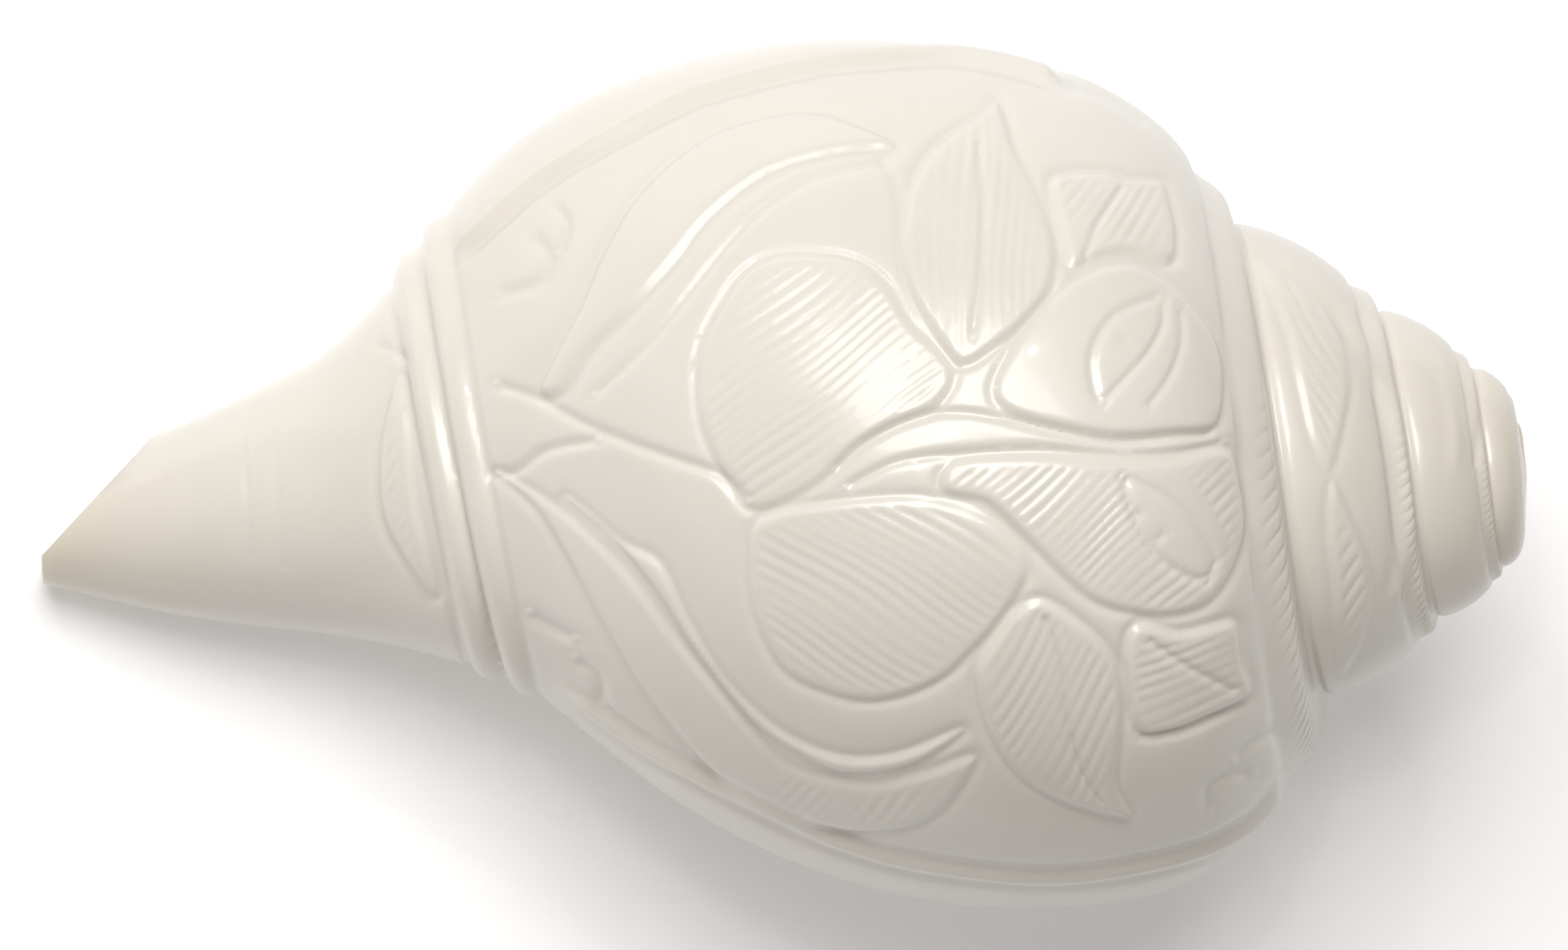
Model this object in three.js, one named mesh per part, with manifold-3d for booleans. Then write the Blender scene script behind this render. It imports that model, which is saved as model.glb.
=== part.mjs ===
// A carved shankha, the sacred chank conch, lying mouth down on a table.
// The shell is one piece: a right-handed spiral of whorls round one axis, a carved rope ridge
// along every suture, two rings cut round the neck, and a hollow last whorl that opens along
// the underside and runs out through the siphonal canal.
//
// While it is being shaped the shell lies along +X with its tip at the +X end. A place on it is
// (along, azimuth, radius): along is the distance from the point where the spiral would end,
// azimuth is 0 at the top of the back and 90 towards +Y, and it grows the way the shell grew.
import * as THREE from "three";
import { mergeVertices } from "three/addons/utils/BufferGeometryUtils.js";
import Module from "manifold-3d";

// Driving dimensions, in millimetres and degrees.
const shellLength = 150;
const tipAlong = 12.7; // the blunt tip, from the point where the spiral would end
const growthPerTurn = 1.54; // each whorl is this much larger than the one before it
const lipSuture = 44.4; // where the last suture meets the lip
const lipAzimuth = 130;
const bodyAlong = 100; // profiles are stretched between the suture and this place
const endAlong = tipAlong + shellLength;
const wall = 3.6;
const canalWall = 2.0;
const mouthSuture = lipSuture / growthPerTurn;

// The spire's outline between one suture and the next, as shares of the suture's distance.
const whorlOutline = [
  [1.0, 0.63], [1.1, 0.755], [1.2, 0.84], [1.3, 0.9], [1.4, 0.943], [1.48, 0.963],
  [growthPerTurn, 0.63 * growthPerTurn],
];

// The last whorl's outline at four azimuths, as [along, radius] in millimetres.
const sideOutline = [
  [42.3, 26.8], [44.5, 31], [47.5, 35.5], [52, 39.4], [58, 42.6], [66, 45.1], [74, 46.1],
  [82, 46.5], [90, 45.8], [98, 44.1], [106, 41.2], [113, 37.2], [118, 33], [124, 26.6],
  [128, 21.7], [134, 16.6], [139, 14], [145, 11.4], [150, 9.4], [endAlong, 5],
];
const farSideOutline = [
  [34.1, 21.4], [36.2, 28], [38.6, 32.2], [42.5, 36.4], [48, 39.6], [54, 41.3], [61, 41.8],
  [68, 41.5], [76, 40.2], [84, 37.7], [92, 34], [100, 28.9], [107.4, 22.7], [112, 18.6],
  [116, 16.2], [120, 14.7], [127, 12.9], [135, 11.4], [143, 10.2], [151, 8.6], [endAlong, 5.4],
];
const undersideOutline = [
  [31.2, 19.6], [34, 24.4], [38, 28.6], [44, 32.4], [50, 34.6], [56, 35.5], [62, 35.3],
  [69, 33.9], [76, 31.2], [84, 27.3], [92, 23], [100, 18.9], [108, 15.6], [116, 13.7],
  [125, 12.8], [135, 12], [143, 10.6], [150, 8.8], [endAlong, 4.5],
];
const mouthOutline = [
  [lipSuture, 0.63 * lipSuture], [50, 29.6], [55, 30], [60, 29.2], [65, 27.4], [70, 24.6],
  [75, 20.8], [80, 16.4], [85, 12.4], [90, 9.6], [97, 7.6], [108, 6.4], [125, 5.4],
  [140, 4.2], [152, 3.2], [endAlong, 2.4],
];

// Carved ridges: a rope along each suture, and two rings round the neck.
const rope = { offset: 1.25, halfWidth: 0.85, height: 1.0, fullFrom: 22 };
const neckRings = [
  { along: 118.2, lean: 3.7, halfWidth: 1.25, height: 0.9 },
  { along: 121.6, lean: 3.2, halfWidth: 1.25, height: 0.9 },
];

// The canal ends in a slanting cut, where along and the distance towards +Y add up to cutSum.
const canal = { cutSum: 160, longest: 162.6 };

// The hollow of the last whorl, from before the lip to deep inside.
const hollow = {
  before: 44, depth: 200, behindSuture: 5, beyondEnd: 10, floorCut: 0.4, clearOfFloor: 1.2,
};

// How it lies: nose down on the canal's end, the underside's bulge and the lip. The nose height is
// measured square to the axis, and the places it stands on are worn flat by a hair.
const lie = { pitch: 16.3, noseAlong: 158, noseHeight: 6.05, lipReach: [0.35, 0.86], flat: 0.35 };

// How finely it is faceted.
const columns = 54;
const whorlRows = [0, 0.015, 0.033, 0.053, 0.085, 0.15, 0.25, 0.38, growthPerTurn - 1];
const bodyRows = 6;
const neckRows = [104, 108, 111.5, 114.6, 116.7, 118.3, 119.9, 121.6, 123.3, 126, 130, 136, 142];
const endRows = 4;
const upperWhorls = 3;
const hollowColumns = 34;
const hollowRows = 17;

const radians = THREE.MathUtils.degToRad;
const clamp = THREE.MathUtils.clamp;
const smoothstep = THREE.MathUtils.smoothstep;

// A smooth curve through points with rising first values: cubic pieces with shared slopes.
function through(points, x) {
  const last = points.length - 1;
  if (x <= points[0][0]) return points[0][1];
  if (x >= points[last][0]) return points[last][1];
  let i = 0;
  while (x > points[i + 1][0]) i += 1;
  const slope = (k) => {
    const a = points[Math.max(k - 1, 0)];
    const b = points[Math.min(k + 1, last)];
    return (b[1] - a[1]) / (b[0] - a[0]);
  };
  const width = points[i + 1][0] - points[i][0];
  const t = (x - points[i][0]) / width;
  const s = 1 - t;
  return (
    points[i][1] * s * s * (1 + 2 * t) +
    points[i + 1][1] * t * t * (1 + 2 * s) +
    width * t * s * (slope(i) * s - slope(i + 1) * t)
  );
}

// Turns are counted back from the lip: 0 at the lip, -1 one whorl earlier.
const turnOf = (azimuth) => (azimuth - lipAzimuth) / 360;
const sutureAt = (turn) => lipSuture * growthPerTurn ** turn;

// Where a place lies between the suture (0), the middle of the body (1) and the end (2).
function stretch(along, suture) {
  if (along < bodyAlong) return (along - suture) / (bodyAlong - suture);
  return 1 + (along - bodyAlong) / (endAlong - bodyAlong);
}

function unstretched(outline, suture) {
  return outline.map(([along, radius]) => [stretch(along, suture), radius]);
}

const stations = [
  { turn: -1, outline: null },
  { turn: turnOf(-165), outline: unstretched(undersideOutline, sutureAt(turnOf(-165))) },
  { turn: turnOf(-90), outline: unstretched(farSideOutline, sutureAt(turnOf(-90))) },
  { turn: turnOf(90), outline: unstretched(sideOutline, sutureAt(turnOf(90))) },
  { turn: 0, outline: unstretched(sideOutline, sutureAt(turnOf(90))) },
];

function mouthRadius(along) {
  if (along >= lipSuture) return through(mouthOutline, along);
  return mouthSuture * through(whorlOutline, along / mouthSuture);
}

// The smooth radius of the whorl that grew at a turn, before any carving.
function smoothRadius(along, turn) {
  const suture = sutureAt(turn);
  if (turn < -1) {
    if (along <= suture * growthPerTurn) return suture * through(whorlOutline, along / suture);
    const scale = growthPerTurn ** (turn + 1);
    return scale * mouthRadius(along / scale);
  }
  const mouthAlong = mouthSuture + (along - suture) * ((bodyAlong - mouthSuture) / (bodyAlong - suture));
  const place = stretch(along, suture);
  const radii = stations.map(({ turn: at, outline }) => [
    at,
    outline ? through(outline, place) : mouthRadius(along < bodyAlong ? mouthAlong : along),
  ]);
  return through(radii, turn);
}

function ridge(distance, { halfWidth, height }) {
  return height * Math.exp(-((distance / halfWidth) ** 2));
}

function carving(along, azimuth, turn) {
  const suture = sutureAt(turn);
  const size = Math.min(1, suture / rope.fullFrom);
  let raised = size * ridge((along - suture) / size - rope.offset, rope);
  for (const ring of neckRings)
    raised += ridge(along - ring.along - ring.lean * Math.sin(radians(azimuth)), ring);
  return raised;
}

// The lip runs back along the table, so its azimuth changes along the shell.
function lipShift(along) {
  const restHeight = lie.noseHeight + (lie.noseAlong - along) * Math.tan(radians(lie.pitch));
  const reach = clamp(restHeight / smoothRadius(along, 0), ...lie.lipReach);
  return 180 - THREE.MathUtils.radToDeg(Math.acos(reach)) - lipAzimuth;
}

// A point of the shaped shell. The tip is blunt: nothing reaches past it.
function place(along, azimuth, radius) {
  const blunt = (along ** 8 + tipAlong ** 8) ** (1 / 8);
  const angle = radians(azimuth);
  return new THREE.Vector3(
    tipAlong + shellLength / 2 - blunt,
    radius * Math.sin(angle),
    radius * Math.cos(angle),
  );
}

// Where the slanting cut ends the canal at an azimuth.
function cutAlong(azimuth, turn) {
  let along = canal.cutSum;
  for (let i = 0; i < 12; i += 1) {
    const side = smoothRadius(along, turn) * Math.sin(radians(azimuth));
    along = (along + clamp(canal.cutSum - side, 140, canal.longest)) / 2;
  }
  return along;
}

// Row i of whorl w, in the column at a turn of the last whorl.
function alongRow(row, turn, azimuth) {
  const suture = sutureAt(turn);
  const rope = whorlRows.length - 1;
  if (row <= rope) return suture * (1 + whorlRows[row]);
  const bodyStart = suture * growthPerTurn;
  const bodyRow = row - rope;
  if (bodyRow <= bodyRows) return bodyStart + ((bodyAlong - bodyStart) * bodyRow) / bodyRows;
  const neckRow = bodyRow - bodyRows - 1;
  const lean = 3.5 * Math.sin(radians(azimuth));
  const leaning = (at) => at + lean * smoothstep(at, 100, 113) * (1 - smoothstep(at, 124, 136));
  if (neckRow < neckRows.length) return leaning(neckRows[neckRow]);
  const from = neckRows[neckRows.length - 1];
  return from + ((cutAlong(azimuth, turn) - from) * (neckRow - neckRows.length + 1)) / endRows;
}

function outerPoint(whorl, column, row) {
  const turn = -column / columns;
  const azimuth = lipAzimuth + 360 * turn;
  const along = whorl === 0
    ? alongRow(row, turn, azimuth)
    : sutureAt(turn - whorl) * (1 + whorlRows[row]);
  const radius = smoothRadius(along, turn - whorl) + carving(along, azimuth, turn - whorl);
  const nearLip = whorl === 0 ? smoothstep(turn, -0.2, 0) : 0;
  return place(along, azimuth + nearLip * lipShift(along), radius);
}

// Triangles are collected as corner points and welded afterwards.
class Skin {
  constructor() {
    this.corners = [];
  }
  triangle(a, b, c) {
    for (const p of [a, b, c]) this.corners.push(p.x, p.y, p.z);
  }
  quad(a, b, c, d) {
    this.triangle(a, b, c);
    this.triangle(a, c, d);
  }
  // Joins two edges that share both ends but not their number of points.
  stitch(left, right) {
    let i = 0;
    let j = 0;
    while (i < left.length - 1 || j < right.length - 1) {
      const nextLeft = i < left.length - 1 ? left[i + 1].x : -Infinity;
      const nextRight = j < right.length - 1 ? right[j + 1].x : -Infinity;
      if (nextLeft >= nextRight) {
        this.triangle(left[i], left[i + 1], right[j]);
        i += 1;
      } else {
        this.triangle(left[i], right[j + 1], right[j]);
        j += 1;
      }
    }
  }
  geometry() {
    const made = new THREE.BufferGeometry();
    made.setAttribute("position", new THREE.Float32BufferAttribute(this.corners, 3));
    return mergeVertices(made, 2e-4);
  }
}

// The whole outside as one closed skin, with a plain step from the lip to the inner whorl.
function outsideSkin() {
  const skin = new Skin();
  const suturedRows = whorlRows.length - 1;
  const lastRow = suturedRows + bodyRows + neckRows.length + endRows;
  const grid = [];
  for (let whorl = 0; whorl <= upperWhorls; whorl += 1) {
    const rows = whorl === 0 ? lastRow : suturedRows;
    grid.push([]);
    for (let column = 0; column <= columns; column += 1) {
      grid[whorl].push([]);
      for (let row = 0; row <= rows; row += 1) grid[whorl][column].push(outerPoint(whorl, column, row));
    }
  }
  // Neighbouring whorls share their sutures, and each whorl ends where the next one began.
  for (let whorl = 1; whorl <= upperWhorls; whorl += 1)
    for (let column = 0; column <= columns; column += 1)
      grid[whorl][column][suturedRows] = grid[whorl - 1][column][0];
  for (let whorl = 0; whorl < upperWhorls; whorl += 1)
    for (let row = 0; row <= (whorl === 0 ? suturedRows : suturedRows - 1); row += 1)
      grid[whorl][columns][row] = row < suturedRows ? grid[whorl + 1][0][row] : grid[whorl][0][0];
  for (const whorl of grid)
    for (let column = 0; column < columns; column += 1)
      for (let row = 0; row < whorl[column].length - 1; row += 1)
        skin.quad(whorl[column][row], whorl[column][row + 1], whorl[column + 1][row + 1], whorl[column + 1][row]);

  // The step down from the lip.
  const lip = grid[0][0];
  const inner = grid[0][columns].slice(suturedRows);
  const endLip = lip[lastRow];
  skin.stitch([...inner, endLip], lip);

  // The blunt tip closes on the axis.
  const top = grid[upperWhorls];
  const crown = [...top.slice(0, columns).map((c) => c[0]), ...top[columns].slice(0, suturedRows)];
  const summit = place(0, 0, 0);
  crown.forEach((p, k) => skin.triangle(summit, p, crown[(k + 1) % crown.length]));

  // The canal's slanting end.
  const rim = grid[0].map((c) => c[lastRow]);
  const centre = rim.reduce((sum, p) => sum.add(p), new THREE.Vector3()).divideScalar(rim.length);
  rim.forEach((p, k) => skin.triangle(centre, rim[(k + 1) % rim.length], p));
  return skin.geometry();
}

// The hollow as a closed skin of its own: a bent horn between the inner whorl and the wall.
function hollowSkin() {
  const skin = new Skin();
  const loops = [];
  for (let column = 0; column <= hollowColumns; column += 1) {
    const back = -hollow.before + ((hollow.before + hollow.depth) * column) / hollowColumns;
    const turn = -back / 360;
    const azimuth = lipAzimuth - back;
    const from = sutureAt(Math.min(turn, 0)) + hollow.behindSuture;
    const to = endAlong + hollow.beyondEnd;
    const roof = [];
    const floor = [];
    for (let row = 0; row <= hollowRows; row += 1) {
      const along = from + (to - from) * (row / hollowRows);
      const thickness = THREE.MathUtils.lerp(wall, canalWall, smoothstep(along, 110, 150));
      const inside = smoothstep(back + lipShift(along), -3, 9);
      const low = smoothRadius(along, turn - 1) - hollow.floorCut * inside + hollow.clearOfFloor * (1 - inside);
      const high = smoothRadius(along, Math.min(turn, 0)) - thickness;
      floor.push(place(along, azimuth, low));
      roof.push(place(along, azimuth, Math.max(high, low + 0.4)));
    }
    loops.push([...roof, ...floor.reverse()]);
  }
  for (let column = 0; column < hollowColumns; column += 1)
    loops[column].forEach((p, k) => {
      const next = (k + 1) % loops[column].length;
      skin.quad(p, loops[column][next], loops[column + 1][next], loops[column + 1][k]);
    });
  for (const [loop, flip] of [[loops[0], true], [loops[hollowColumns], false]]) {
    const count = loop.length;
    for (let k = 0; k < hollowRows; k += 1) {
      const corners = [loop[k], loop[k + 1], loop[count - 2 - k], loop[count - 1 - k]];
      skin.quad(...(flip ? corners.reverse() : corners));
    }
  }
  return skin.geometry();
}

const wasm = await Module();
wasm.setup();

function solidOf(geometry) {
  const bare = geometry.clone();
  bare.deleteAttribute("normal");
  bare.deleteAttribute("uv");
  const welded = mergeVertices(bare, 2e-4);
  return new wasm.Manifold(
    new wasm.Mesh({
      numProp: 3,
      vertProperties: welded.attributes.position.array,
      triVerts: new Uint32Array(welded.index.array),
    }),
  );
}

function geometryOf(solid) {
  const { vertProperties, triVerts } = solid.getMesh();
  const made = new THREE.BufferGeometry();
  made.setAttribute("position", new THREE.Float32BufferAttribute(vertProperties, 3));
  made.setIndex(new THREE.Uint32BufferAttribute(triVerts, 1));
  return made;
}

// Lays the shell down: nose down, its lowest place just below the table's plane.
function laidDown(geometry) {
  const turned = geometry.clone();
  turned.rotateY(radians(-lie.pitch));
  turned.computeBoundingBox();
  const { min, max } = turned.boundingBox;
  turned.translate(-(min.x + max.x) / 2, -(min.y + max.y) / 2, -min.z - lie.flat);
  return turned;
}

const carved = solidOf(outsideSkin()).subtract(solidOf(hollowSkin()));
const table = new THREE.BoxGeometry(400, 400, 40).translate(0, 0, -20);
const shellSolid = solidOf(laidDown(geometryOf(carved))).subtract(solidOf(table));

const polishedShell = new THREE.MeshStandardMaterial({ color: 0xe9e4da, roughness: 0.28, metalness: 0 });
const shell = new THREE.Mesh(geometryOf(shellSolid), polishedShell);
shell.name = "shell";

const shankha = new THREE.Group();
shankha.add(shell);

export default shankha;
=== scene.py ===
"""A carved shankha, the sacred chank conch, lying mouth down on a pale table.

The shell is shaped along +X with its tip at the +X end, in millimetres, and laid down at the end.
A place on it is (along, azimuth, radius): along is the distance from the point where the spiral
would end, azimuth is 0 at the top of the back and 90 towards +Y, and it grows as the shell grew.
The carving is drawn on the back as curves in the photograph's pixels, and cut into the surface.
"""

import math

import bpy
import numpy as np
from mathutils import Matrix, Vector


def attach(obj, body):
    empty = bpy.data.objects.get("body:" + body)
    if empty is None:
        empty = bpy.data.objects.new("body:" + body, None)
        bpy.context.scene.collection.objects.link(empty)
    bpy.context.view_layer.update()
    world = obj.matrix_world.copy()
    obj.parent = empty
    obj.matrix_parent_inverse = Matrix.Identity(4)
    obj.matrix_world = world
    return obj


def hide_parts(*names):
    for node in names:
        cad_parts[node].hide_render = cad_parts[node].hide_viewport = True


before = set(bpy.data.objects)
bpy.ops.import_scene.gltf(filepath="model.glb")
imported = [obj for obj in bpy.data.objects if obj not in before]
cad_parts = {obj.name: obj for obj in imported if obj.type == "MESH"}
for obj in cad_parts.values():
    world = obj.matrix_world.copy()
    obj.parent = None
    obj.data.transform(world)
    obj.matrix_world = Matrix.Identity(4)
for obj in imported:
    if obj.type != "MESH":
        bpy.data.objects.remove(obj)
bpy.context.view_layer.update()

# The shell's measures, in millimetres and degrees. Growth is for one turn, and a suture's
# slope is its radius over its along.
SHELL_LENGTH = 150
TIP_ALONG = 12.7
BLUNTNESS = 5.5
END_ALONG = TIP_ALONG + SHELL_LENGTH
GROWTH = 1.54
LIP_SUTURE = 44.4
LIP_AZIMUTH = 130
BODY_ALONG = 100
SUTURE_SLOPE = 0.63
WALL = 3.6
CANAL_WALL = 2.0
MOUTH_SUTURE = LIP_SUTURE / GROWTH

# The spire's outline between one suture and the next, as shares of the suture's distance.
WHORL_OUTLINE = [
    (1.0, SUTURE_SLOPE), (1.1, 0.755), (1.2, 0.84), (1.3, 0.9), (1.4, 0.943), (1.48, 0.963),
    (GROWTH, SUTURE_SLOPE * GROWTH),
]

# The last whorl's outline at three azimuths and at the mouth, as (along, radius).
SIDE_AZIMUTH = 90
FAR_SIDE_AZIMUTH = -90
UNDERSIDE_AZIMUTH = -165
SIDE_OUTLINE = [
    (42.3, 26.8), (44.5, 31), (47.5, 35.5), (52, 39.4), (58, 42.6), (66, 45.1), (74, 46.1),
    (82, 46.5), (90, 45.8), (98, 44.1), (106, 41.2), (113, 37.2), (118, 33), (124, 26.6),
    (128, 21.7), (134, 16.6), (139, 14), (145, 11.4), (150, 9.4), (END_ALONG, 5),
]
FAR_SIDE_OUTLINE = [
    (34.1, 21.4), (36.2, 28), (38.6, 32.2), (42.5, 36.4), (48, 39.6), (54, 41.3), (61, 41.8),
    (68, 41.5), (76, 40.2), (84, 37.7), (92, 34), (100, 28.9), (107.4, 22.7), (112, 18.6),
    (116, 16.2), (120, 14.7), (127, 12.9), (135, 11.4), (143, 10.2), (151, 8.6), (END_ALONG, 5.4),
]
UNDERSIDE_OUTLINE = [
    (31.2, 19.6), (34, 24.4), (38, 28.6), (44, 32.4), (50, 34.6), (56, 35.5), (62, 35.3),
    (69, 33.9), (76, 31.2), (84, 27.3), (92, 23), (100, 18.9), (108, 15.6), (116, 13.7),
    (125, 12.8), (135, 12), (143, 10.6), (150, 8.8), (END_ALONG, 4.5),
]
MOUTH_OUTLINE = [
    (LIP_SUTURE, SUTURE_SLOPE * LIP_SUTURE), (50, 29.6), (55, 30), (60, 29.2), (65, 27.4), (70, 24.6),
    (75, 20.8), (80, 16.4), (85, 12.4), (90, 9.6), (97, 7.6), (108, 6.4), (125, 5.4),
    (140, 4.2), (152, 3.2), (END_ALONG, 2.4),
]

# Carved ridges: a rope along each suture, and two rings round the neck. All have a groove at
# their foot. The rope is full size from one suture on, and worn away near the tip. Its twist is
# rubbed down where the sine of the azimuth is high.
ROPE = {"offset": 1.25, "half_width": 0.85, "height": 0.9, "full_from": 36, "worn": (8, 14)}
ROPE_FOOT = {"beyond": 1.9, "half_width": 0.6, "depth": 0.4}
TWIST = {"per_turn": 88, "lean": 0.7, "depth": 0.24, "rubbed": 0.8, "rubbed_side": (-0.2, 0.4)}
NEXT_SUTURE_GROOVE = {"before": 0.6, "half_width": 0.55, "depth": 0.5}
NECK_RINGS = [
    {"along": 118.3, "lean": 3.9, "half_width": 1.1, "height": 0.65},
    {"along": 121.5, "lean": 3.4, "half_width": 1.1, "height": 0.65},
]
RING_FOOT = {"beside": 1.7, "half_width": 0.45, "depth": 0.35}

# Where the drawn carving fades out: from a suture, as a share of its distance; at the tip, in
# turns; and down the sides of the last whorl, as the cosine of the azimuth.
SUTURE_FADE = 0.03
TIP_FADE = (-4, -3.2)
SIDE_FADE = (-0.2, 0)

# The canal's slanting cut, the lip's run along the table, the hollow, and how the shell lies.
CANAL = {"cut_sum": 160, "shortest": 140, "longest": 162.6}
LIP_EASE_TURNS = 0.2
HOLLOW = {
    "before": 44, "depth": 200, "behind_suture": 5, "beyond_end": 10, "cut": 0.4, "clear": 1.2,
    "thins_along": (110, 150), "enters": (-3, 9), "least_height": 0.4,
}
LIE = {"pitch": 16.3, "nose_along": 158, "nose_height": 6.05, "reach": (0.35, 0.86), "flat": 0.35}

# How finely the shell is meshed before it is thinned out.
COLUMNS = 960
WHORL_STEPS = 84
BODY_STEPS = 110
NECK_STEPS = 135
NECK_UNTIL = 142
END_STEPS = 30
UPPER_WHORLS = 3
HOLLOW_COLUMNS = 120
HOLLOW_ROWS = 70
CURVE_PIECES = 6
MOST_TRIANGLES = 188000
SHARP_ANGLE = 62
MM_PER_METRE = 1000

# How the photograph's pixels lie over the shell seen from its back. The apex is where the
# spiral would end.
PHOTO_SHELL_LENGTH = 1897
PHOTO_MM = SHELL_LENGTH / PHOTO_SHELL_LENGTH
PHOTO_APEX = (2108, 601)
PHOTO_TILT = 0.0366
PHOTO_WIDTH = 2000
PHOTO_MIDDLE = (1000, 606)

# The camera, in millimetres.
CAMERA_DISTANCE = 3000
SENSOR_WIDTH = 36

# The looks: the shell's lime is cloudy, and yellower at both worn ends.
SHELL_SURFACE = {
    "Roughness": 0.3,
    "Subsurface Weight": 0.25,
    "Subsurface Radius": (1.0, 0.75, 0.5),
    "Subsurface Scale": 0.003,
    "IOR": 1.52,
    "Coat Weight": 0.2,
    "Coat Roughness": 0.08,
}
CLOUD_TINTS = [(0.3, (0.76, 0.72, 0.645, 1)), (0.7, (0.81, 0.78, 0.715, 1))]
WORN_TINT = (0.74, 0.67, 0.55, 1)
WORN_AT_ENDS = {"From_Min": 0.056, "From_Max": 0.076, "To_Max": 0.7}
TABLE_HALF = 3.0
TABLE_TINT = (0.95, 0.95, 0.95, 1)
TABLE_GLOW = 0.2
WORLD_TINT = (1, 0.945, 0.945, 1)
WORLD_STRENGTH = 0.2

# The area lights, in metres and watts. All point at the middle of the table.
LIGHTS = [
    {"name": "softbox", "at": (-0.3, 0.54, 1.22), "size": 0.8, "power": 14.8, "tint": (1, 0.995, 0.975)},
    {"name": "window", "at": (-0.42, 0.58, 0.6), "size": 0.04, "power": 0.35, "tint": (1, 1, 1)},
    {"name": "lamp", "at": (0.04, 0.6, 0.78), "size": 0.04, "power": 0.3, "tint": (1, 1, 1)},
    {"name": "ceiling_lamp", "at": (-0.3, 0.22, 1.1), "size": 0.04, "power": 0.35, "tint": (1, 1, 1)},
]


def smoothstep(x, low, high):
    """0 up to low, 1 from high on, and a smooth rise between them."""
    t = np.clip((x - low) / (high - low), 0, 1)
    return t * t * (3 - 2 * t)


def through(xs, ys, x):
    """A smooth curve through points, at x. Each of ys may be an array as long as x."""
    xs = np.asarray(xs, float)
    ys = np.asarray(ys, float)
    if ys.ndim == 1:
        ys = np.repeat(ys[:, None], x.size, axis=1)
    slope = np.empty_like(ys)
    slope[1:-1] = (ys[2:] - ys[:-2]) / (xs[2:] - xs[:-2])[:, None]
    slope[0] = (ys[1] - ys[0]) / (xs[1] - xs[0])
    slope[-1] = (ys[-1] - ys[-2]) / (xs[-1] - xs[-2])
    x = np.clip(x, xs[0], xs[-1])
    i = np.clip(np.searchsorted(xs, x, side="right") - 1, 0, len(xs) - 2)
    n = np.arange(x.size)
    width = xs[i + 1] - xs[i]
    t = (x - xs[i]) / width
    s = 1 - t
    ends = ys[i, n] * s * s * (1 + 2 * t) + ys[i + 1, n] * t * t * (1 + 2 * s)
    return ends + width * t * s * (slope[i, n] * s - slope[i + 1, n] * t)


def along_outline(outline, x):
    """The radius at x on an outline of (along, radius)."""
    return through([p[0] for p in outline], [p[1] for p in outline], x)


def turn_of(azimuth):
    """Where an azimuth is in the shell's growth: 0 at the lip and -1 a whorl earlier."""
    return (azimuth - LIP_AZIMUTH) / 360


def suture_at(turn):
    """The along at which a whorl meets the one before it."""
    return LIP_SUTURE * GROWTH ** turn


def stretch(along, suture):
    """0 at the suture, 1 at the middle of the body and 2 at the canal's end."""
    near = (along - suture) / (BODY_ALONG - suture)
    far = 1 + (along - BODY_ALONG) / (END_ALONG - BODY_ALONG)
    return np.where(along < BODY_ALONG, near, far)


def unstretched(outline, azimuth):
    """An outline over the shares that stretch gives."""
    places = stretch(np.array([p[0] for p in outline], float), suture_at(turn_of(azimuth)))
    return list(zip(places, [p[1] for p in outline]))


# The turns at which the last whorl's outline is known. The side's outline holds up to the lip.
STATIONS = [
    (turn_of(UNDERSIDE_AZIMUTH), unstretched(UNDERSIDE_OUTLINE, UNDERSIDE_AZIMUTH)),
    (turn_of(FAR_SIDE_AZIMUTH), unstretched(FAR_SIDE_OUTLINE, FAR_SIDE_AZIMUTH)),
    (turn_of(SIDE_AZIMUTH), unstretched(SIDE_OUTLINE, SIDE_AZIMUTH)),
    (0, unstretched(SIDE_OUTLINE, SIDE_AZIMUTH)),
]


def mouth_radius(along):
    """The outline a whorl before the lip, which is the mouth's inner edge."""
    spire = MOUTH_SUTURE * along_outline(WHORL_OUTLINE, along / MOUTH_SUTURE)
    return np.where(along >= LIP_SUTURE, along_outline(MOUTH_OUTLINE, along), spire)


def smooth_radius(along, turn):
    """The radius of the whorl that grew at a turn, before any carving."""
    shape = np.broadcast(along, turn).shape
    along = np.broadcast_to(along, shape).ravel().astype(float)
    turn = np.broadcast_to(turn, shape).ravel().astype(float)
    suture = suture_at(turn)
    spire = suture * along_outline(WHORL_OUTLINE, along / suture)
    scale = GROWTH ** (turn + 1)
    inner = scale * mouth_radius(along / scale)
    early = np.where(along <= suture * GROWTH, spire, inner)
    squeeze = (BODY_ALONG - MOUTH_SUTURE) / (BODY_ALONG - suture)
    mouth_along = np.where(along < BODY_ALONG, MOUTH_SUTURE + (along - suture) * squeeze, along)
    share = stretch(along, suture)
    radii = [mouth_radius(mouth_along)] + [along_outline(outline, share) for _, outline in STATIONS]
    late = through([-1] + [at for at, _ in STATIONS], radii, turn)
    return np.where(turn < -1, early, late).reshape(shape)


def ridge(distance, half_width):
    """A rounded ridge, 1 high in its middle."""
    return np.exp(-((distance / half_width) ** 2))


def lip_shift(along):
    """The lip runs back along the table, so its azimuth changes along the shell."""
    rest = LIE["nose_height"] + (LIE["nose_along"] - along) * math.tan(math.radians(LIE["pitch"]))
    reach = np.clip(rest / smooth_radius(along, 0), *LIE["reach"])
    return 180 - np.degrees(np.arccos(reach)) - LIP_AZIMUTH


def place(along, azimuth, radius):
    """A point of the shaped shell. The tip is blunt: nothing reaches past it."""
    blunt = (np.maximum(along, 0) ** BLUNTNESS + TIP_ALONG ** BLUNTNESS) ** (1 / BLUNTNESS)
    angle = np.radians(azimuth)
    return np.stack(
        [
            TIP_ALONG + SHELL_LENGTH / 2 - blunt,
            radius * np.sin(angle),
            radius * np.cos(angle),
        ],
        axis=-1,
    )


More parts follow.
